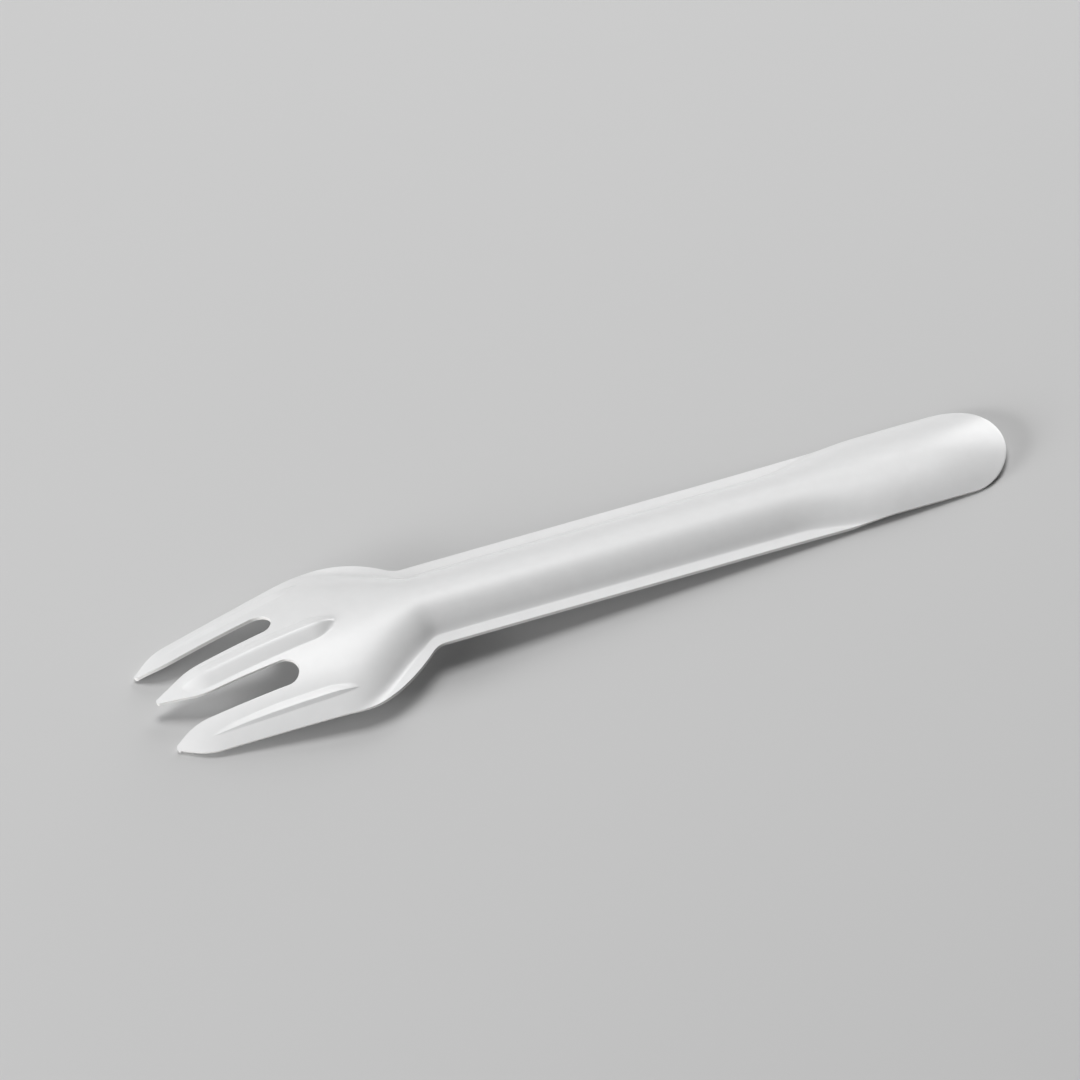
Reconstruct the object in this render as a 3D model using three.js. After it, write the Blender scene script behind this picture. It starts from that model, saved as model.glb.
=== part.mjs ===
// A three-tine paper fork, press-formed from three paperboard plies glued face to face.
// It lies back up, on the outer tine tips and the tail. X runs from the tips to the tail,
// Y across the fork and Z up. Every length is in millimetres.
import * as THREE from "three";

// Outline of the whole fork
const forkLength = 160;
const handleWidth = 20.2;
const tailWidth = 20.75;
const tailWidthFromTips = 136; // the handle is that wide from here on
const tailWidening = 14; // run of the easing at both ends of the stretch where it widens
const tailRoundLength = 9.4; // the elliptical end, measured along the handle
const neckFromTips = 48.9; // corner where the handle's edge meets the shoulder
const neckRounding = 1.4; // run of the rounding along X, to each side of that corner
const shoulderFromTips = 40.1; // corner between the shoulder and the outer tine's edge
const shoulderWidth = 38.2; // across the two shoulder corners, before they are rounded
const shoulderRounding = 9.3;

// Tines and the two slots between them
const tipWidth = 0.6;
const tipNoseLength = 0.6;
const outerTipOffset = 9.75; // from the axis of the fork to an outer tip
const outerCornerFromTips = 4.55; // where an outer tine stops widening on its outer side
const outerCornerOffset = 13.65;
const innerCornerFromTips = 4.1; // the same on its inner side
const innerCornerOffset = 7.9;
const tineCornerRounding = 2.6;
const centreTipSetback = 0.15;
const centreCornerFromTips = 7.4;
const centreTineWidth = 6.75; // at that corner
const centreCornerRounding = 2;
const slotRootFromTips = 21.55; // centre of the slot's round end
const slotWidth = 5.1; // at that centre
const slotOffset = 6.47; // from the axis to that centre

// Arch of the handle, and the rims it stands on
const archHeight = 3.65; // crest above the rims
const rimWidth = 2.6; // from the edge to the foot of the arch
const footBlend = 0.88; // height over which arch and rim run into each other
const rimFadeFromTips = 117; // the rims run out into the tail from here
const rimFadeLength = 20;
const tailCrestDrop = 1.35;
const tailDropLength = 15;

// Head: the crest bends down to the tips, and the rims become a flange that fades out
const bendFromTips = 50;
const bendRadius = 148;
const flangeFromTips = 46;
const flangeSlopeShare = 0.16; // fall of the flange for each length towards the tips
const flangeEase = 2;
const flangeRunOutFromTips = 28; // the flange is gone here
const flangeRunInFromTips = 44; // and whole here
const flangeWidth = 3.2; // from the shoulder's edge to the foot of the arch
const flangeNarrowing = 6; // length over which it narrows to the rim, up to the neck's rounding
const edgeReach = 0.8; // where there is no rim, the arch's foot lies this far outside the edge
const edgeStand = 0.85; // and on the head this far under it

// Stiffening ridge along each tine
const centreRidgeHeight = 1.25;
const centreRidgeFacet = 2.45; // plan width of each of its two facets
const centreRidgeRounding = 0.15; // of its crest, as a share of its height
const centreRidgeFromTips = 4.9;
const centreRidgeLength = 28.9;
const centreRidgeRunOut = 4.8; // at its front end
const outerRidgeHeight = 0.55;
const innerRidgeFacet = 1.5; // plan widths on an outer tine
const outerRidgeFacet = 0.42;
const outerRidgeRounding = 0.06;
const outerRidgeShift = 0.35; // crest of an outer ridge, from the middle of its tine
const outerRidgeFromTips = 5.9;
const outerRidgeLength = 26.6;
const outerRidgeRunOut = 14;
const ridgeBackRunOut = 5;
const ridgeFootShare = 0.72; // the foot line of the centre ridge keeps within this of the tine

// Board: three plies with a thin line of glue between them
const plyThickness = 0.19;
const glueLine = 0.02;
const plies = [
  { name: "back_ply", colour: 0xf6f7f7, roughness: 0.42 },
  { name: "core_ply", colour: 0xece9e2, roughness: 0.85 },
  { name: "face_ply", colour: 0xf4f5f5, roughness: 0.45 },
];

// Shares of each stretch of the fork that its cross sections divide it into
const tineRows = 14;
const headRows = 18;
const handleRows = 4;
const fadeRows = 5;
const tailRows = 8;
const tineRowPower = 1.3; // sections crowd towards the tips
const slotEndPoints = 5; // points on each round slot end, between its two walls
const headLayoutFromTips = 33; // sections change from the tines' points to the handle's
const headLayoutLength = 12;
const rimPointShares = [1.31, 1.1, 0.9, 0.69, 0.35]; // of the rim's width, in from the edge

const clamp01 = (t) => Math.min(1, Math.max(0, t));
const smoothStep = (t) => clamp01(t) ** 2 * (3 - 2 * clamp01(t));
const mix = (a, b, t) => a + (b - a) * t;

// Distance from the axis along a chain of straight lines, whose corners are eased by parabolas.
function easedEdge(corners) {
  const slopes = corners
    .slice(1)
    .map((c, i) => (c.y - corners[i].y) / (c.x - corners[i].x));
  return (x) => {
    const next = corners.findIndex((c, i) => i > 0 && (x <= c.x || i === slopes.length));
    let y = corners[next].y + slopes[next - 1] * (x - corners[next].x);
    for (let i = 1; i < slopes.length; i += 1) {
      const reach = Math.max(0, corners[i].run - Math.abs(x - corners[i].x));
      y += ((slopes[i] - slopes[i - 1]) * reach ** 2) / (4 * corners[i].run);
    }
    return y;
  };
}

const outerEdge = easedEdge([
  { x: 0, y: outerTipOffset + tipWidth / 2 },
  { x: outerCornerFromTips, y: outerCornerOffset, run: tineCornerRounding },
  { x: shoulderFromTips, y: shoulderWidth / 2, run: shoulderRounding },
  { x: neckFromTips, y: handleWidth / 2, run: neckRounding },
  { x: rimFadeFromTips, y: handleWidth / 2, run: tailWidening },
  { x: tailWidthFromTips, y: tailWidth / 2, run: tailWidening },
  { x: forkLength, y: tailWidth / 2 },
]);
const innerEdge = easedEdge([
  { x: 0, y: outerTipOffset - tipWidth / 2 },
  { x: innerCornerFromTips, y: innerCornerOffset, run: tineCornerRounding },
  { x: slotRootFromTips, y: slotOffset + slotWidth / 2 },
]);
const centreEdge = easedEdge([
  { x: 0, y: tipWidth / 2 },
  { x: centreCornerFromTips, y: centreTineWidth / 2, run: centreCornerRounding },
  { x: slotRootFromTips, y: slotOffset - slotWidth / 2 },
]);
const outerRidgeLine = (x) => (innerEdge(x) + outerEdge(x)) / 2 + outerRidgeShift;

// How much of the rim there is: none at the tines, all along the handle, none at the tail.
const flangeShare = (x) =>
  smoothStep((x - flangeRunOutFromTips) / (flangeRunInFromTips - flangeRunOutFromTips));
const tailShare = (x) => smoothStep((x - rimFadeFromTips) / rimFadeLength);

// Half the span of the arch: to the foot inside the rim, or to a foot outside the edge.
function halfSpan(x) {
  const narrowing = smoothStep((neckFromTips + neckRounding - x) / flangeNarrowing);
  const rim = mix(rimWidth, flangeWidth, narrowing);
  return outerEdge(x) + edgeReach - flangeShare(x) * (1 - tailShare(x)) * (rim + edgeReach);
}

// The crest: straight on the handle, bent down on one radius to the tips, and a little at the tail.
function crestHeight(x) {
  const forward = Math.max(0, bendFromTips - x);
  const tail = Math.max(0, x - forkLength + tailDropLength) / tailDropLength;
  const bend = bendRadius - Math.sqrt(bendRadius ** 2 - forward ** 2);
  return archHeight - bend - tailCrestDrop * tail ** 2;
}

// The surface that the arch stands on: the rims' plane, which tilts down along the head.
function footHeight(x) {
  const forward = flangeFromTips - x;
  const eased = (forward + Math.hypot(forward, flangeEase)) / 2;
  return -flangeSlopeShare * eased - edgeStand * (1 - flangeShare(x));
}

// A ridge with a rounded crest and two facets, which sinks into the surface at its two ends.
function ridgeOn(x, offset, ridge) {
  const front = clamp01((x - ridge.from) / ridge.runOut);
  const back = clamp01((ridge.from + ridge.length - x) / ridgeBackRunOut);
  const whole = (1 - (1 - front) ** 2) * (1 - (1 - back) ** 2);
  const fall = offset < 0 ? -offset / ridge.inner : offset / ridge.outer;
  const rounded = Math.hypot(fall, ridge.rounding) - ridge.rounding;
  return ridge.height * Math.max(0, whole - rounded);
}
const centreRidge = {
  height: centreRidgeHeight,
  from: centreRidgeFromTips,
  length: centreRidgeLength,
  runOut: centreRidgeRunOut,
  inner: centreRidgeFacet,
  outer: centreRidgeFacet,
  rounding: centreRidgeRounding,
};
const outerRidge = {
  height: outerRidgeHeight,
  from: outerRidgeFromTips,
  length: outerRidgeLength,
  runOut: outerRidgeRunOut,
  inner: innerRidgeFacet,
  outer: outerRidgeFacet,
  rounding: outerRidgeRounding,
};

// Height of the fork's back over the plane of the handle's rims.
function backHeight(x, y) {
  const foot = footHeight(x);
  const rise = crestHeight(x) - foot;
  const span = halfSpan(x);
  const radius = (span ** 2 + rise ** 2) / (2 * rise);
  const arch = rise - radius + Math.sqrt(Math.max(0, radius ** 2 - y ** 2));
  const blend = clamp01(0.5 + arch / (2 * footBlend));
  const side = Math.abs(y);
  return (
    foot +
    arch * blend +
    footBlend * blend * (1 - blend) +
    ridgeOn(x, side, centreRidge) +
    ridgeOn(x, side - outerRidgeLine(x), outerRidge)
  );
}

// A point that lies this deep under the fork's back, square to its surface.
const slopeStep = plyThickness / 10;
function pointUnder(x, y, depth) {
  const slopeX = (backHeight(x + slopeStep, y) - backHeight(x - slopeStep, y)) / (2 * slopeStep);
  const slopeY = (backHeight(x, y + slopeStep) - backHeight(x, y - slopeStep)) / (2 * slopeStep);
  const inward = new THREE.Vector3(slopeX, slopeY, -1).setLength(depth);
  return inward.add(new THREE.Vector3(x, y, backHeight(x, y)));
}

// Distances from the axis of one section's points, from the axis out to the edge.
// Along the head they follow the walls of the slots and the lines of the ridges.
function headPoints(x) {
  const edge = outerEdge(x);
  const inner = innerEdge(x);
  const centre = centreEdge(x);
  const narrow = Math.min(1, (edge - inner) / 2 / (innerRidgeFacet + outerRidgeFacet));
  const crest = (inner + edge) / 2 + outerRidgeShift * narrow;
  const outerFoot = crest + outerRidgeFacet * narrow;
  const slotPoints = Array.from({ length: slotEndPoints }, (_, i) => {
    const turn = Math.PI * ((i + 1) / (slotEndPoints + 1) - 1 / 2);
    return (inner + centre) / 2 + ((inner - centre) / 2) * Math.sin(turn);
  });
  return [
    0,
    Math.min(centreRidgeFacet, ridgeFootShare * centre),
    centre,
    ...slotPoints,
    inner,
    crest - innerRidgeFacet * narrow,
    crest,
    outerFoot,
    (outerFoot + edge) / 2,
    edge,
  ];
}
const pointCount = headPoints(slotRootFromTips).length;

// Along the handle they are even on the arch and close together at its foot.
function handlePoints(x) {
  const edge = outerEdge(x);
  const rim = rimPointShares.map((share) => edge - rimWidth * share);
  const archPoints = pointCount - rim.length - 1;
  const even = Array.from({ length: archPoints }, (_, i) => (rim[0] * i) / archPoints);
  return [...even, ...rim, edge];
}

// At the tail they are spaced for its round end.
function tailPoints(x) {
  const last = pointCount - 1;
  return Array.from({ length: pointCount }, (_, i) => outerEdge(x) * Math.sin((Math.PI * i) / last / 2));
}

function sectionPoints(x) {
  const toHandle = smoothStep((x - headLayoutFromTips) / headLayoutLength);
  const toTail = smoothStep((x - rimFadeFromTips) / rimFadeLength);
  const head = headPoints(x);
  const handle = handlePoints(x);
  const tail = tailPoints(x);
  const half = head.map((y, i) => mix(mix(y, handle[i], toHandle), tail[i], toTail));
  return [...half.slice(1).reverse().map((y) => -y), ...half];
}

// Plan of the fork as a net of four-sided cells. Each vertex is a plan position.
const vertices = [];
const cells = [];
function addVertex(x, y) {
  vertices.push({ x, y });
  return vertices.length - 1;
}
function addCells(rows) {
  rows.slice(1).forEach((row, r) => {
    row.slice(1).forEach((_, c) => {
      cells.push([rows[r][c], row[c], row[c + 1], rows[r][c + 1]]);
    });
  });
}

// Body: from the slot ends to the tail. Its first row bulges round the two slot ends, and its
// last row is the elliptical end of the tail.
const bodyStretches = [
  { to: neckFromTips + neckRounding, rows: headRows },
  { to: rimFadeFromTips, rows: handleRows },
  { to: rimFadeFromTips + rimFadeLength, rows: fadeRows },
  { to: forkLength, rows: tailRows },
];
const stations = [slotRootFromTips];
for (const stretch of bodyStretches) {
  const from = stations.at(-1);
  for (let i = 1; i <= stretch.rows; i += 1) {
    stations.push(mix(from, stretch.to, i / stretch.rows));
  }
}
const tailStart = rimFadeFromTips + rimFadeLength;
function bodyX(station, y) {
  const fromSlot = Math.abs(Math.abs(y.atRoot) - slotOffset);
  const bulge = Math.sqrt(Math.max(0, (slotWidth / 2) ** 2 - fromSlot ** 2));
  const slotFade = clamp01(1 - (station - slotRootFromTips) / (2 * slotWidth));
  const round = 1 - Math.sqrt(Math.max(0, 1 - (y.here / outerEdge(forkLength)) ** 2));
  const tailFade = clamp01((station - tailStart) / (forkLength - tailStart));
  return station + bulge * slotFade - tailRoundLength * round * tailFade;
}
const rootPoints = sectionPoints(slotRootFromTips);
const bodyRows = stations.map((station) =>
  sectionPoints(station).map((here, i) =>
    addVertex(bodyX(station, { here, atRoot: rootPoints[i] }), here),
  ),
);
addCells(bodyRows);

// Tines: each from its rounded nose to the slot ends, where it shares the body's first row.
function addTine(first, last, setback) {
  const noseAt = setback + tipNoseLength;
  const nose = sectionPoints(noseAt).slice(first, last + 1);
  const middle = (nose[0] + nose.at(-1)) / 2;
  const halfWidth = (nose.at(-1) - nose[0]) / 2;
  const noseX = nose.map(
    (y) => noseAt - tipNoseLength * Math.sqrt(Math.max(0, 1 - ((y - middle) / halfWidth) ** 2)),
  );
  const rows = [];
  for (let r = 0; r < tineRows; r += 1) {
    const along = (r / tineRows) ** tineRowPower;
    rows.push(
      noseX.map((start, i) => {
        const x = mix(start, slotRootFromTips, along);
        return addVertex(x, sectionPoints(Math.max(x, noseAt))[first + i]);
      }),
    );
  }
  rows.push(bodyRows[0].slice(first, last + 1));
  addCells(rows);
}
const tinePoints = 6;
const lastPoint = 2 * pointCount - 2;
const axisPoint = pointCount - 1;
addTine(0, tinePoints - 1, 0);
addTine(axisPoint - 2, axisPoint + 2, centreTipSetback);
addTine(lastPoint - tinePoints + 1, lastPoint, 0);

// Two triangles for each cell, mirrored about the axis, and the edges that bound the plan.
const faces = cells.flatMap(([a, b, c, d]) => {
  const farSide = vertices[a].y + vertices[c].y > 0;
  return farSide
    ? [
        [a, b, c],
        [a, c, d],
      ]
    : [
        [a, b, d],
        [b, c, d],
      ];
});
const inUse = new Set(faces.flatMap(([a, b, c]) => [`${a} ${b}`, `${b} ${c}`, `${c} ${a}`]));
const rimEdges = [...inUse]
  .map((key) => key.split(" ").map(Number))
  .filter(([a, b]) => !inUse.has(`${b} ${a}`));

// One ply: the net laid at two depths under the fork's back, closed by a wall along the rim.
function plyGeometry(topDepth, bottomDepth) {
  const top = vertices.map(({ x, y }) => pointUnder(x, y, topDepth));
  const bottom = vertices.map(({ x, y }) => pointUnder(x, y, bottomDepth));
  const under = vertices.length;
  const triangles = [
    ...faces,
    ...faces.map(([a, b, c]) => [a + under, c + under, b + under]),
    ...rimEdges.flatMap(([a, b]) => [
      [b, a, a + under],
      [b, a + under, b + under],
    ]),
  ];
  const geometry = new THREE.BufferGeometry().setFromPoints([...top, ...bottom]);
  geometry.setIndex(triangles.flat());
  geometry.computeVertexNormals();
  return geometry;
}

const fork = new THREE.Group();
plies.forEach(({ name, colour, roughness }, i) => {
  const depth = i * (plyThickness + glueLine);
  const material = new THREE.MeshStandardMaterial({ color: colour, roughness, metalness: 0 });
  const ply = new THREE.Mesh(plyGeometry(depth, depth + plyThickness), material);
  ply.name = name;
  fork.add(ply);
});

// The fork lies on its tips and its tail, so it is turned until the line under both is level.
const boardThickness = plies.length * plyThickness + (plies.length - 1) * glueLine;
const underside = vertices.map(({ x, y }) => pointUnder(x, y, boardThickness));
const slopeBetween = (p, q) => (q.z - p.z) / (q.x - p.x);
const frontHalf = underside.filter((p) => p.x < forkLength / 2);
const rearHalf = underside.filter((p) => p.x > forkLength / 2);
let tip = frontHalf.reduce((low, p) => (p.z < low.z ? p : low));
const tail = rearHalf.reduce((low, p) => (slopeBetween(tip, p) < slopeBetween(tip, low) ? p : low));
tip = frontHalf.reduce((low, p) => (slopeBetween(p, tail) > slopeBetween(low, tail) ? p : low));
fork.rotation.y = Math.atan(slopeBetween(tip, tail));

// The origin is on the table, under the middle of the fork.
fork.updateMatrixWorld(true);
const box = new THREE.Box3().setFromObject(fork, true);
fork.position.set(-(box.min.x + box.max.x) / 2, -(box.min.y + box.max.y) / 2, -box.min.z);

const part = new THREE.Group();
part.add(fork);
export default part;
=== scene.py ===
"""It lies back up on its outer tine tips and its tail. X runs from the tips to the tail, Y across
the fork and Z up. The form is worked out in millimetres and put into the meshes in metres.
"""

import bpy
import numpy as np
from mathutils import Matrix, Vector


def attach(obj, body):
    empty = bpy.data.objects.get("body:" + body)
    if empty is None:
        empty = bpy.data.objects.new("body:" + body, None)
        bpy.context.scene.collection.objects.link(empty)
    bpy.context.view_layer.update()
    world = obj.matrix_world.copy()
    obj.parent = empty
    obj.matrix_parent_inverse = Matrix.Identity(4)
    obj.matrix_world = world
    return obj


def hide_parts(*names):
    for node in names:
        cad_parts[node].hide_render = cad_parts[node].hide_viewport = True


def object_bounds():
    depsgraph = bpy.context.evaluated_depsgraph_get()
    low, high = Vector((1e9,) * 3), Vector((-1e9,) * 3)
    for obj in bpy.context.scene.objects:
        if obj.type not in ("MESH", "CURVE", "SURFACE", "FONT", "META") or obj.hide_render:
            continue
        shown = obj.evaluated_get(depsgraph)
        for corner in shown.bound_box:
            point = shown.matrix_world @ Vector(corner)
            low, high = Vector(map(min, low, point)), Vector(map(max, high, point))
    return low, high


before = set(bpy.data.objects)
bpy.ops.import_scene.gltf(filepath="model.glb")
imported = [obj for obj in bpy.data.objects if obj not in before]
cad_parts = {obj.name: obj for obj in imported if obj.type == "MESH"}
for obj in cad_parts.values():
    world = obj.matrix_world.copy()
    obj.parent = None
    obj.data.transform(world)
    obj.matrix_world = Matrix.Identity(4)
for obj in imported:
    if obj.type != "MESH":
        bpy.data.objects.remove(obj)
cad_low, cad_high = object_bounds()


# Back ply
# The outer layer of white coated paperboard, on the fork's convex back. It is glued flat to two
# more plies, die-cut with them as one blank, and pressed in a heated mould, which draws the
# arch, the rims, the bent head and the ridges of the tines.
MM = 0.001
fork_length = 160.0
handle_width = 20.2
tail_width = 20.75
tail_width_from_tips = 136.0
tail_widening = 14.0
tail_round_length = 9.4
tip_width = 0.6
tip_nose_length = 0.6
outer_tip_offset = 9.75
outer_corner_from_tips = 4.55
outer_corner_offset = 13.65
inner_corner_from_tips = 4.1
inner_corner_offset = 7.9
tine_corner_rounding = 2.6
centre_tip_setback = 0.15
centre_corner_from_tips = 7.4
centre_tine_width = 6.75
centre_corner_rounding = 2.0
slot_root_from_tips = 21.55
slot_width = 5.1
slot_offset = 6.47
shoulder_from_tips = 40.1
shoulder_width = 38.2
shoulder_rounding = 9.3
neck_from_tips = 48.9
neck_rounding = 1.4
rim_fade_from_tips = 117.0
rim_fade_length = 20.0


def eased_edge(*corners):
    """Distance from the axis along straight lines, given as (x, distance, run) corners. Within
    a corner's run the line gains the change of slope times (run - reach) squared over 4 runs."""
    starts = np.array([corner[:2] for corner in corners], dtype=float)
    slopes = np.diff(starts[:, 1]) / np.diff(starts[:, 0])

    def edge(x):
        y = starts[0, 1] + slopes[0] * (x - starts[0, 0])
        for (corner_x, _, run), turn in zip(corners[1:-1], np.diff(slopes)):
            reach = np.maximum(0, run - abs(x - corner_x))
            y = y + turn * (np.maximum(0, x - corner_x) + reach**2 / (4 * run))
        return y

    return edge


outer_edge = eased_edge(
    (0, outer_tip_offset + tip_width / 2),
    (outer_corner_from_tips, outer_corner_offset, tine_corner_rounding),
    (shoulder_from_tips, shoulder_width / 2, shoulder_rounding),
    (neck_from_tips, handle_width / 2, neck_rounding),
    (rim_fade_from_tips, handle_width / 2, tail_widening),
    (tail_width_from_tips, tail_width / 2, tail_widening),
    (fork_length, tail_width / 2),
)
inner_edge = eased_edge(
    (0, outer_tip_offset - tip_width / 2),
    (inner_corner_from_tips, inner_corner_offset, tine_corner_rounding),
    (slot_root_from_tips, slot_offset + slot_width / 2),
)
centre_edge = eased_edge(
    (0, tip_width / 2),
    (centre_corner_from_tips, centre_tine_width / 2, centre_corner_rounding),
    (slot_root_from_tips, slot_offset - slot_width / 2),
)

arch_height = 3.65
rim_width = 2.6
foot_blend = 0.88
tail_crest_drop = 1.35
tail_drop_length = 15.0
bend_from_tips = 50.0
bend_radius = 148.0
flange_from_tips = 46.0
flange_slope = 0.16
flange_ease = 2.0
flange_run_out_from_tips = 28.0
flange_run_in_from_tips = 44.0
flange_width = 3.2
flange_narrowing = 6.0
edge_reach = 0.8
edge_stand = 0.85


def smooth_step(t):
    """3t^2 - 2t^3 between 0 and 1."""
    t = np.clip(t, 0, 1)
    return t * t * (3 - 2 * t)


def smooth_max(a, width):
    """The larger of a and 0, run into each other over twice this width by a parabola."""
    share = np.clip(0.5 + a / (2 * width), 0, 1)
    return a * share + width * share * (1 - share)


def flange_share(x):
    """How much of the flange there is: 0 at the tips, 1 on the shoulder and the handle."""
    run_in = flange_run_in_from_tips - flange_run_out_from_tips
    return smooth_step((x - flange_run_out_from_tips) / run_in)


def half_span(x):
    """Half the span of the arch: to its foot inside the rim, or, where the rim has run out, to
    a foot a little outside the edge. The rim is wider on the shoulder than on the handle."""
    narrowing = smooth_step((neck_from_tips + neck_rounding - x) / flange_narrowing)
    rim = rim_width + (flange_width - rim_width) * narrowing
    whole = flange_share(x) * (1 - smooth_step((x - rim_fade_from_tips) / rim_fade_length))
    return outer_edge(x) + edge_reach - whole * (rim + edge_reach)


ridge_back_run_out = 5.0
ridge_foot_softness = 0.04
centre_ridge_height = 1.25
centre_ridge_facet = 2.45
centre_ridge_rounding = 0.15
centre_ridge_from_tips = 4.9
centre_ridge_length = 28.9
centre_ridge_run_out = 4.8
outer_ridge_height = 0.55
inner_ridge_facet = 1.5
outer_ridge_facet = 0.42
outer_ridge_rounding = 0.06
outer_ridge_shift = 0.35
outer_ridge_from_tips = 5.9
outer_ridge_length = 26.6
outer_ridge_run_out = 14.0


def ridge(x, offset, start, length, run_out, height, facets, rounding):
    """A pressed ridge: a rounded crest line between two flat facets. Its height falls in
    proportion to the offset over the facet's width, and runs out at both ends by a parabola."""
    front = np.clip((x - start) / run_out, 0, 1)
    back = np.clip((start + length - x) / ridge_back_run_out, 0, 1)
    whole = (1 - (1 - front) ** 2) * (1 - (1 - back) ** 2)
    fall = np.where(offset < 0, -offset / facets[0], offset / facets[1])
    rounded = np.hypot(fall, rounding) - rounding
    return height * smooth_max(whole - rounded - ridge_foot_softness, ridge_foot_softness)


def ridges(x, y):
    """The three ridges: one along the centre tine, and one near the middle of each outer one."""
    centre = ridge(
        x,
        abs(y),
        centre_ridge_from_tips,
        centre_ridge_length,
        centre_ridge_run_out,
        centre_ridge_height,
        (centre_ridge_facet, centre_ridge_facet),
        centre_ridge_rounding,
    )
    outer_line = (inner_edge(x) + outer_edge(x)) / 2 + outer_ridge_shift
    outer = ridge(
        x,
        abs(y) - outer_line,
        outer_ridge_from_tips,
        outer_ridge_length,
        outer_ridge_run_out,
        outer_ridge_height,
        (inner_ridge_facet, outer_ridge_facet),
        outer_ridge_rounding,
    )
    return centre + outer


def back_height(x, y):
    """Height of the back over the plane of the handle's rims. Across the fork it is a circular
    arc run smoothly into a flat foot; along it the crest bends down on one radius to the tips."""
    forward = np.maximum(0, bend_from_tips - x)
    tail = np.maximum(0, x - fork_length + tail_drop_length) / tail_drop_length
    bend = bend_radius - np.sqrt(bend_radius**2 - forward**2)
    crest = arch_height - bend - tail_crest_drop * tail**2
    to_flange = flange_from_tips - x
    eased = (to_flange + np.hypot(to_flange, flange_ease)) / 2
    foot = -flange_slope * eased - edge_stand * (1 - flange_share(x))
    rise = crest - foot
    radius = (half_span(x) ** 2 + rise**2) / (2 * rise)
    arch = rise - radius + np.sqrt(np.maximum(0, radius**2 - y**2))
    return foot + smooth_max(arch, foot_blend) + ridges(x, y)


# Wide enough that the lower plies do not fold over themselves under the crests of the ridges.
slope_step = 0.4


def sheet_points(x, y, depth):
    """Points this deep under the back: position plus depth along the inward normal. Its slopes
    are central differences of the height, so it swings gradually over a crest."""
    slope_x = (back_height(x + slope_step, y) - back_height(x - slope_step, y)) / (2 * slope_step)
    slope_y = (back_height(x, y + slope_step) - back_height(x, y - slope_step)) / (2 * slope_step)
    inward = np.stack([slope_x, slope_y, -np.ones_like(slope_x)], axis=-1)
    inward *= depth / np.linalg.norm(inward, axis=-1, keepdims=True)
    return np.stack([x, y, back_height(x, y)], axis=-1) + inward


slot_end_points = 5
arch_columns = 8
head_layout_from_tips = 33.0
head_layout_length = 12.0
rim_point_shares = np.array([1.31, 1.1, 0.9, 0.69, 0.35, 0])
last_key = 13
ridge_foot_share = 0.72


def section_points(x, column):
    """Distance from the axis of a column at x. Columns 0 to 13 follow the tines' walls and
    ridges on the head, the arch and the rim on the handle and a quarter sine at the tail, and a
    part column lies between its neighbours. A negative column is on the near side."""
    edge, inner, centre = outer_edge(x), inner_edge(x), centre_edge(x)
    narrow = np.minimum(1, (edge - inner) / 2 / (inner_ridge_facet + outer_ridge_facet))
    crest = (inner + edge) / 2 + outer_ridge_shift * narrow
    outer_foot = crest + outer_ridge_facet * narrow
    turns = np.pi * (np.arange(1, slot_end_points + 1) / (slot_end_points + 1) - 1 / 2)
    slot = [(inner + centre) / 2 + (inner - centre) / 2 * np.sin(turn) for turn in turns]
    centre_foot = np.minimum(centre_ridge_facet, ridge_foot_share * centre)
    inner_foot = crest - inner_ridge_facet * narrow
    head = [0 * x, centre_foot, centre, *slot, inner, inner_foot, crest, outer_foot]
    head = np.stack([*head, (outer_foot + edge) / 2, edge], axis=-1)
    rim = edge[..., None] - rim_width * rim_point_shares
    arch = rim[..., :1] * np.arange(arch_columns) / arch_columns
    handle = np.concatenate([arch, rim], axis=-1)
    tail = edge[..., None] * np.sin(np.pi / 2 * np.arange(last_key + 1) / last_key)
    to_handle = smooth_step((x - head_layout_from_tips) / head_layout_length)[..., None]
    to_tail = smooth_step((x - rim_fade_from_tips) / rim_fade_length)[..., None]
    keys = head + (handle - head) * to_handle
    keys = keys + (tail - keys) * to_tail
    whole = np.minimum(np.floor(abs(column)), last_key - 1).astype(int)
    part = abs(column) - whole
    low = np.take_along_axis(keys, whole[..., None], -1)[..., 0]
    high = np.take_along_axis(keys, whole[..., None] + 1, -1)[..., 0]
    return np.sign(column) * (low + (high - low) * part)


# Each stretch of columns is divided more closely beside its lines, where the ridges crease.
column_shares = np.array([0, 0.06, 0.16, 0.34, 0.66, 0.84, 0.94])


def columns_between(first, last):
    """All the columns from one numbered line to another, with the closer divisions."""
    lines = (np.arange(first, last)[:, None] + column_shares).ravel()
    return np.append(lines, last)


rows_to_neck = 96
rows_along_handle = 34
rows_along_rim_fade = 30
rows_to_tail_end = 46


def body_plan():
    """Plan of the sheet behind the slots. Its rows bulge round the slots' ends by the slot's
    circle, straighten over two slot widths, and end in the ellipse of the tail."""
    neck_end = neck_from_tips + neck_rounding
    tail_start = rim_fade_from_tips + rim_fade_length
    stretches = (
        np.linspace(slot_root_from_tips, neck_end, rows_to_neck, endpoint=False),
        np.linspace(neck_end, rim_fade_from_tips, rows_along_handle, endpoint=False),
        np.linspace(rim_fade_from_tips, tail_start, rows_along_rim_fade, endpoint=False),
        np.linspace(tail_start, fork_length, rows_to_tail_end),
    )
    column = columns_between(-last_key, last_key)
    station, column = np.meshgrid(np.concatenate(stretches), column, indexing="ij")
    y = section_points(station, column)
    from_slot = abs(abs(y[:1]) - slot_offset)
    bulge = np.sqrt(np.maximum(0, (slot_width / 2) ** 2 - from_slot**2))
    slot_fade = np.clip(1 - (station - slot_root_from_tips) / (2 * slot_width), 0, 1)
    roundness = 1 - np.sqrt(np.maximum(0, 1 - (2 * y / tail_width) ** 2))
    tail_fade = np.clip((station - tail_start) / (fork_length - tail_start), 0, 1)
    return station + bulge * slot_fade - tail_round_length * roundness * tail_fade, y


tine_rows = 85
row_crowding = 1.3


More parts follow.
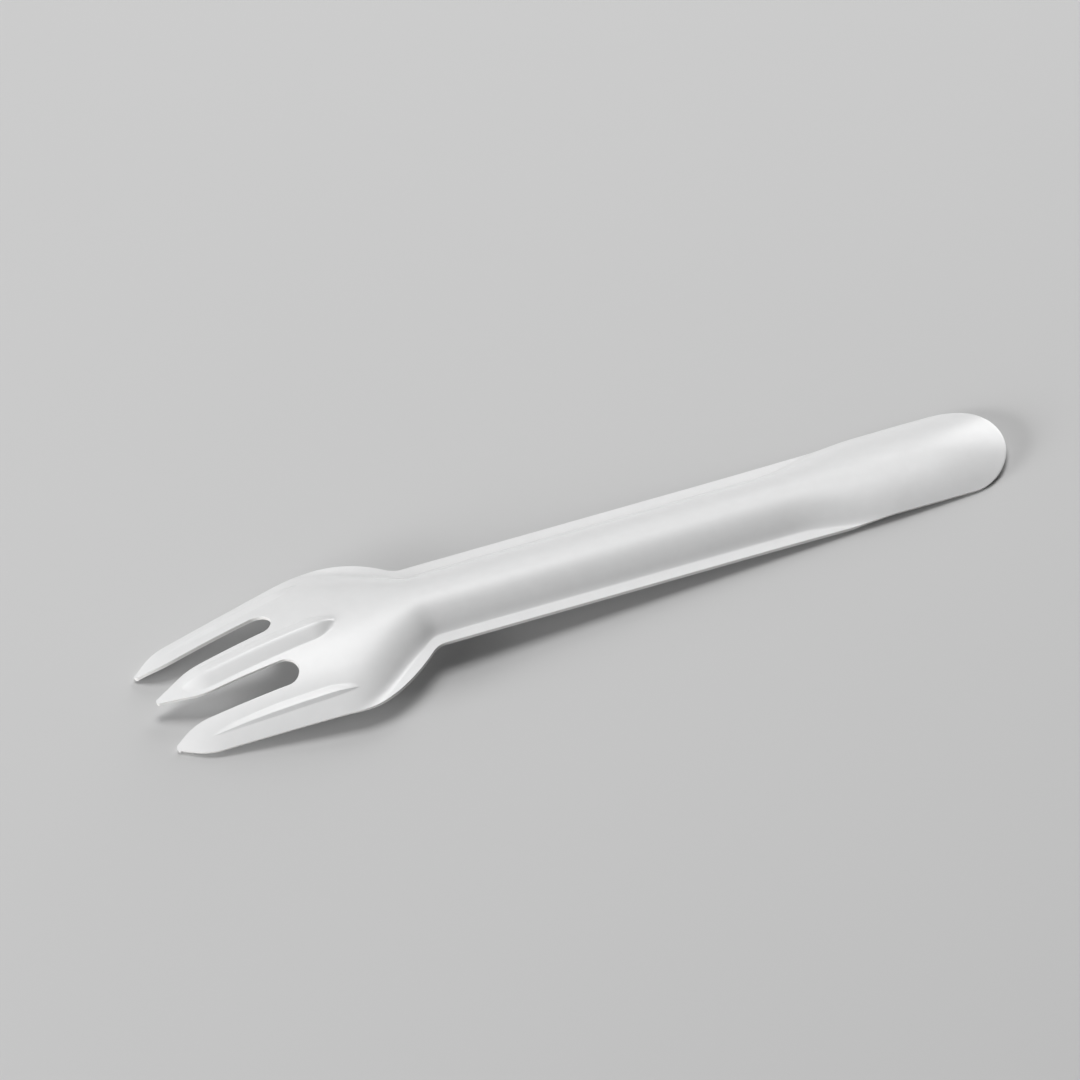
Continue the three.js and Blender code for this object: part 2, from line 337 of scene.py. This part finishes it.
def tine_plan(first, last, setback):
    """Plan of one tine: from the half ellipse of its nose to the slots' ends, with its rows
    crowded towards the nose."""
    column = columns_between(first, last)
    nose_at = setback + tip_nose_length
    nose = section_points(np.full_like(column, nose_at), column)
    across = (2 * nose - nose[0] - nose[-1]) / (nose[-1] - nose[0])
    nose_x = nose_at - tip_nose_length * np.sqrt(np.maximum(0, 1 - across**2))
    along = (np.linspace(0, 1, tine_rows) ** row_crowding)[:, None]
    x = nose_x + (slot_root_from_tips - nose_x) * along
    y = section_points(np.maximum(x, nose_at), np.broadcast_to(column, x.shape))
    return x, y


def grid_faces(shape, start):
    """Four-sided faces of a grid of points, numbered row by row from start, facing up."""
    number = start + np.arange(shape[0] * shape[1]).reshape(shape)
    corners = [number[:-1, :-1], number[1:, :-1], number[1:, 1:], number[:-1, 1:]]
    return np.stack(corners, axis=-1).reshape(-1, 4)


inner_line = 8
centre_line = 2
plans = [
    body_plan(),
    tine_plan(-last_key, -inner_line, 0),
    tine_plan(-centre_line, centre_line, centre_tip_setback),
    tine_plan(inner_line, last_key, 0),
]
starts = np.cumsum([0] + [x.size for x, _ in plans])
plan = np.concatenate([np.stack([x.ravel(), y.ravel()], -1) for x, y in plans])
faces = np.concatenate([grid_faces(x.shape, start) for (x, _), start in zip(plans, starts)])

# The tines are joined to the body where their points fall together.
weld = 0.001
_, kept, number = np.unique(np.round(plan / weld), axis=0, return_index=True, return_inverse=True)
plan = plan[kept]
faces = number.ravel()[faces]

# The rim of the blank: the sides of faces that no other face shares.
sides = np.concatenate([faces[:, [i, (i + 1) % 4]] for i in range(4)])
side_keys = sides[:, 0] * len(plan) + sides[:, 1]
rim_sides = sides[~np.isin(side_keys, sides[:, 1] * len(plan) + sides[:, 0])]
outward = np.zeros_like(plan)
for end in (0, 1):
    run = plan[rim_sides[:, 1]] - plan[rim_sides[:, 0]]
    run = run / np.linalg.norm(run, axis=1, keepdims=True)
    np.add.at(outward, rim_sides[:, end], np.stack([run[:, 1], -run[:, 0]], -1))
length = np.linalg.norm(outward, axis=1, keepdims=True)
outward = np.divide(outward, length, out=np.zeros_like(outward), where=length > 0)

ply_thickness = 0.19
glue_line = 0.02
cut_rounding = 0.035
full_rounding_from_tips = 4.0
sharp_edge_angle = np.radians(35)


def ply_points(depth, inset=0.0):
    """The whole plan laid at one depth, with the points on the rim drawn in by the inset, which
    fades to nothing at the tine tips."""
    share = smooth_step(plan[:, :1] / full_rounding_from_tips)
    drawn = plan - outward * inset * share
    return sheet_points(drawn[:, 0], drawn[:, 1], depth)


# The fork lies on its tips and its tail: it is turned about Y until the lowest points of its
# two halves are level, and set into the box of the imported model.
board_thickness = 3 * ply_thickness + 2 * glue_line
underside = ply_points(board_thickness)
front = underside[underside[:, 0] < fork_length / 2]
rear = underside[underside[:, 0] > fork_length / 2]
tip = front[np.argmin(front[:, 2])]
for _ in range(2):
    tail = rear[np.argmin((rear[:, 2] - tip[2]) / (rear[:, 0] - tip[0]))]
    tip = front[np.argmax((tail[2] - front[:, 2]) / (tail[0] - front[:, 0]))]
tilt = np.arctan2(tail[2] - tip[2], tail[0] - tip[0])
turn = np.array([[np.cos(tilt), 0, np.sin(tilt)], [0, 1, 0], [-np.sin(tilt), 0, np.cos(tilt)]])
turned = np.concatenate([ply_points(0), underside]) @ turn.T
place = np.array(cad_low) / MM - turned.min(axis=0)


def make_ply(name, top_depth, coated_faces, coated, cut):
    """One ply as a closed mesh: its upper and lower surfaces, and between them the die-cut
    wall, whose two corners are rounded over a few hundredths of a millimetre."""
    half = 1 - np.sqrt(0.5)
    wall = [
        (top_depth, cut_rounding),
        (top_depth + half * cut_rounding, half * cut_rounding),
        (top_depth + cut_rounding, 0),
        (top_depth + ply_thickness - cut_rounding, 0),
        (top_depth + ply_thickness - half * cut_rounding, half * cut_rounding),
        (top_depth + ply_thickness, cut_rounding),
    ]
    rings = [ply_points(depth, inset) for depth, inset in wall]
    rim = np.unique(rim_sides)
    on_rim = np.full(len(plan), -1)
    on_rim[rim] = np.arange(len(rim))
    top = rings[0]
    bottom = rings[-1]
    middle = [ring[rim] for ring in rings[1:-1]]
    points = np.concatenate([top, bottom, *middle])
    numbers = [np.arange(len(plan))]
    for i in range(len(middle)):
        numbers.append(2 * len(plan) + i * len(rim) + on_rim)
    numbers.append(len(plan) + np.arange(len(plan)))
    a, b = rim_sides.T
    walls = [
        np.stack([up[b], up[a], down[a], down[b]], -1) for up, down in zip(numbers, numbers[1:])
    ]
    all_faces = np.concatenate([faces, faces[:, ::-1] + len(plan), *walls])
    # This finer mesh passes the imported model's box by a few thousandths of a millimetre.
    points = np.clip((points @ turn.T + place) * MM, cad_low, cad_high)
    mesh = bpy.data.meshes.new(name)
    mesh.from_pydata(points, [], all_faces.tolist())
    mesh.materials.append(coated)
    mesh.materials.append(cut)
    material = np.ones(len(all_faces), dtype=np.int32)
    material[: len(faces)] = 0 if "top" in coated_faces else 1
    material[len(faces) : 2 * len(faces)] = 0 if "bottom" in coated_faces else 1
    mesh.polygons.foreach_set("material_index", material)
    mesh.shade_smooth()
    mesh.set_sharp_from_angle(angle=sharp_edge_angle)
    mesh.validate()
    ply = bpy.data.objects.new(name, mesh)
    bpy.context.scene.collection.objects.link(ply)
    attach(ply, "root")
    return ply


cloud_detail = 4.0
fibre_detail = 2.5
fibre_noise_roughness = 0.55


def paper_fibre_group():
    """Paper's own texture: the cloudy look of its fibre mat, and the fine nap of its fibres."""
    group = bpy.data.node_groups.new("paper_fibre", "ShaderNodeTree")
    for name in ("Cloud size", "Fibre size"):
        group.interface.new_socket(name, in_out="INPUT", socket_type="NodeSocketFloat")
    for name in ("Clouding", "Fibres"):
        group.interface.new_socket(name, in_out="OUTPUT", socket_type="NodeSocketFloat")
    nodes, link = group.nodes, group.links.new
    taken = nodes.new("NodeGroupInput")
    given = nodes.new("NodeGroupOutput")
    place_on = nodes.new("ShaderNodeTexCoord")
    for size, detail, out in (
        ("Cloud size", cloud_detail, "Clouding"),
        ("Fibre size", fibre_detail, "Fibres"),
    ):
        scale = nodes.new("ShaderNodeMath")
        scale.operation = "DIVIDE"
        scale.inputs[0].default_value = 1 / MM
        link(taken.outputs[size], scale.inputs[1])
        noise = nodes.new("ShaderNodeTexNoise")
        noise.inputs["Detail"].default_value = detail
        noise.inputs["Roughness"].default_value = fibre_noise_roughness
        link(place_on.outputs["Object"], noise.inputs["Vector"])
        link(scale.outputs[0], noise.inputs["Scale"])
        link(noise.outputs["Fac"], given.inputs[out])
    return group


paper_fibre = paper_fibre_group()
coating_roughness = 0.26
noise_low = 0.3
noise_high = 0.7


def tone_mix(nodes, deep, pale):
    """A mix of two tones. Its colour sockets share their names with those of other types, so
    they are taken by number: inputs 6 and 7, and output 2."""
    mix = nodes.new("ShaderNodeMix")
    mix.data_type = "RGBA"
    mix.inputs[6].default_value = (*deep, 1)
    mix.inputs[7].default_value = (*pale, 1)
    return mix


def paper_material(name, pale, deep, smooth, rough, nap, cloud_size, fibre_size, coating):
    """Paperboard: its colour and gloss drift with the clouding, and its fibres lift the
    surface by the nap, in millimetres. The coating is the share that its clear layer covers."""
    material = bpy.data.materials.new(name)
    material.use_nodes = True
    nodes, link = material.node_tree.nodes, material.node_tree.links.new
    shader = nodes["Principled BSDF"]
    shader.inputs["Coat Weight"].default_value = coating
    shader.inputs["Coat Roughness"].default_value = coating_roughness
    fibre = nodes.new("ShaderNodeGroup")
    fibre.node_tree = paper_fibre
    fibre.inputs["Cloud size"].default_value = cloud_size
    fibre.inputs["Fibre size"].default_value = fibre_size
    colour = tone_mix(nodes, deep, pale)
    link(fibre.outputs["Clouding"], colour.inputs["Factor"])
    link(colour.outputs[2], shader.inputs["Base Color"])
    gloss = nodes.new("ShaderNodeMapRange")
    gloss.inputs["From Min"].default_value = noise_low
    gloss.inputs["From Max"].default_value = noise_high
    gloss.inputs["To Min"].default_value = smooth
    gloss.inputs["To Max"].default_value = rough
    link(fibre.outputs["Fibres"], gloss.inputs["Value"])
    link(gloss.outputs["Result"], shader.inputs["Roughness"])
    bump = nodes.new("ShaderNodeBump")
    bump.inputs["Distance"].default_value = nap * MM
    link(fibre.outputs["Fibres"], bump.inputs["Height"])
    link(bump.outputs["Normal"], shader.inputs["Normal"])
    return material


coated_board = paper_material(
    "coated_board",
    pale=(0.865, 0.867, 0.868),
    deep=(0.805, 0.807, 0.808),
    smooth=0.36,
    rough=0.5,
    nap=0.004,
    cloud_size=2.5,
    fibre_size=0.14,
    coating=0.6,
)
cut_board = paper_material(
    "cut_board",
    pale=(0.88, 0.877, 0.87),
    deep=(0.835, 0.83, 0.82),
    smooth=0.8,
    rough=0.95,
    nap=0.02,
    cloud_size=0.5,
    fibre_size=0.06,
    coating=0,
)

back = make_ply("back_ply_board", 0, ("top",), coated_board, cut_board)
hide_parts("back_ply")


# Core ply
# The middle layer, plain uncoated board between the two coated ones. It shows only in the cut
# edge, a shade darker than its neighbours, with a glue line above it and one below.
core_board = paper_material(
    "core_board",
    pale=(0.84, 0.832, 0.815),
    deep=(0.79, 0.78, 0.76),
    smooth=0.85,
    rough=0.95,
    nap=0.02,
    cloud_size=0.5,
    fibre_size=0.06,
    coating=0,
)
core = make_ply("core_ply_board", ply_thickness + glue_line, (), coated_board, core_board)
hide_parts("core_ply")


# Face ply
# The coated layer on the concave side, which meets the food. It is the lowest as the fork lies,
# and its cut edge touches the table at the outer tine tips and at the tail.
face_depth = 2 * (ply_thickness + glue_line)
face = make_ply("face_ply_board", face_depth, ("bottom",), coated_board, cut_board)
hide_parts("face_ply")


# Table
# A plain pale table top that carries on to the horizon. It is matt, with a faint unevenness of
# tone, and stands in for the black of the photograph.
table_reach = 4.0
table_roughness = 0.9
table_tones_per_metre = 6.0
table_mesh = bpy.data.meshes.new("table")
sides_of_table = (-table_reach, table_reach)
corners = [(x, y, 0) for y in sides_of_table for x in sides_of_table]
table_mesh.from_pydata(corners, [], [(0, 1, 3, 2)])
table = bpy.data.objects.new("table", table_mesh)
bpy.context.scene.collection.objects.link(table)
table_top = bpy.data.materials.new("table_top")
table_top.use_nodes = True
table_nodes, table_link = table_top.node_tree.nodes, table_top.node_tree.links.new
table_shader = table_nodes["Principled BSDF"]
table_shader.inputs["Roughness"].default_value = table_roughness
table_place = table_nodes.new("ShaderNodeTexCoord")
table_noise = table_nodes.new("ShaderNodeTexNoise")
table_noise.inputs["Scale"].default_value = table_tones_per_metre
table_tone = tone_mix(table_nodes, (0.63, 0.63, 0.63), (0.65, 0.65, 0.65))
table_link(table_place.outputs["Object"], table_noise.inputs["Vector"])
table_link(table_noise.outputs["Fac"], table_tone.inputs["Factor"])
table_link(table_tone.outputs[2], table_shader.inputs["Base Color"])
table_mesh.materials.append(table_top)


# Studio light
# One soft box overhead and one behind, a wide low one beyond the tips, which lights the bent head,
# and a tall one beyond the tail, which the coating mirrors as a bright patch on the round end. The
# room's own light is weak, so the near flank of the arch stays in shade.
def soft_box(name, position, width, depth, power):
    """A rectangular lamp of this many watts, turned towards the origin, under the middle of the
    fork."""
    lamp = bpy.data.lights.new(name, "AREA")
    lamp.shape = "RECTANGLE"
    lamp.size = width
    lamp.size_y = depth
    lamp.energy = power
    holder = bpy.data.objects.new(name, lamp)
    bpy.context.scene.collection.objects.link(holder)
    holder.location = position
    holder.rotation_mode = "QUATERNION"
    holder.rotation_quaternion = (-Vector(position)).to_track_quat("-Z", "Y")


soft_box("overhead_box", (0.1, 0.36, 1.14), width=0.6, depth=0.6, power=7.0)
soft_box("back_box", (0.37, 0.64, 0.95), width=0.5, depth=0.5, power=0.7)
soft_box("tail_box", (0.79, 0.79, 0.45), width=0.6, depth=0.8, power=7.0)
soft_box("tip_box", (-1.14, -0.22, 0.29), width=0.9, depth=0.3, power=13.6)

room_level = 0.02
seen_background_level = 0.6
room = bpy.data.worlds.new("room")
bpy.context.scene.world = room
room.use_nodes = True
room_nodes = room.node_tree.nodes
room_light = room_nodes["Background"]
room_light.inputs["Color"].default_value = (1, 1, 1, 1)
light_path = room_nodes.new("ShaderNodeLightPath")
level = room_nodes.new("ShaderNodeMapRange")
level.inputs["To Min"].default_value = room_level
level.inputs["To Max"].default_value = seen_background_level
room.node_tree.links.new(light_path.outputs["Is Camera Ray"], level.inputs["Value"])
room.node_tree.links.new(level.outputs["Result"], room_light.inputs["Strength"])
bpy.context.scene.view_settings.view_transform = "Standard"


# Camera
# A long lens that looks down on the near side of the fork from its tine end, turned a little
# about its own axis, as in the photograph.
camera_azimuth = np.radians(-20.4)
camera_elevation = np.radians(43.72)
camera_roll = np.radians(-3.66)
frame_width = 188.22 * MM
aim = Vector((-5.14 * MM, 5.07 * MM, 6.92 * MM))
camera_distance = 5.0
right = Vector((np.cos(camera_azimuth), np.sin(camera_azimuth), 0))
behind = Vector(
    (
        np.sin(camera_azimuth) * np.cos(camera_elevation),
        -np.cos(camera_azimuth) * np.cos(camera_elevation),
        np.sin(camera_elevation),
    )
)
over = behind.cross(right)
rolled_right = right * np.cos(camera_roll) + over * np.sin(camera_roll)
rolled_over = over * np.cos(camera_roll) - right * np.sin(camera_roll)
lens = bpy.data.cameras.new("camera")
lens.lens = lens.sensor_width * camera_distance / frame_width
camera = bpy.data.objects.new("camera", lens)
bpy.context.scene.collection.objects.link(camera)
pose = Matrix((rolled_right, rolled_over, behind)).transposed().to_4x4()
camera.matrix_world = Matrix.Translation(aim + behind * camera_distance) @ pose
bpy.context.scene.camera = camera
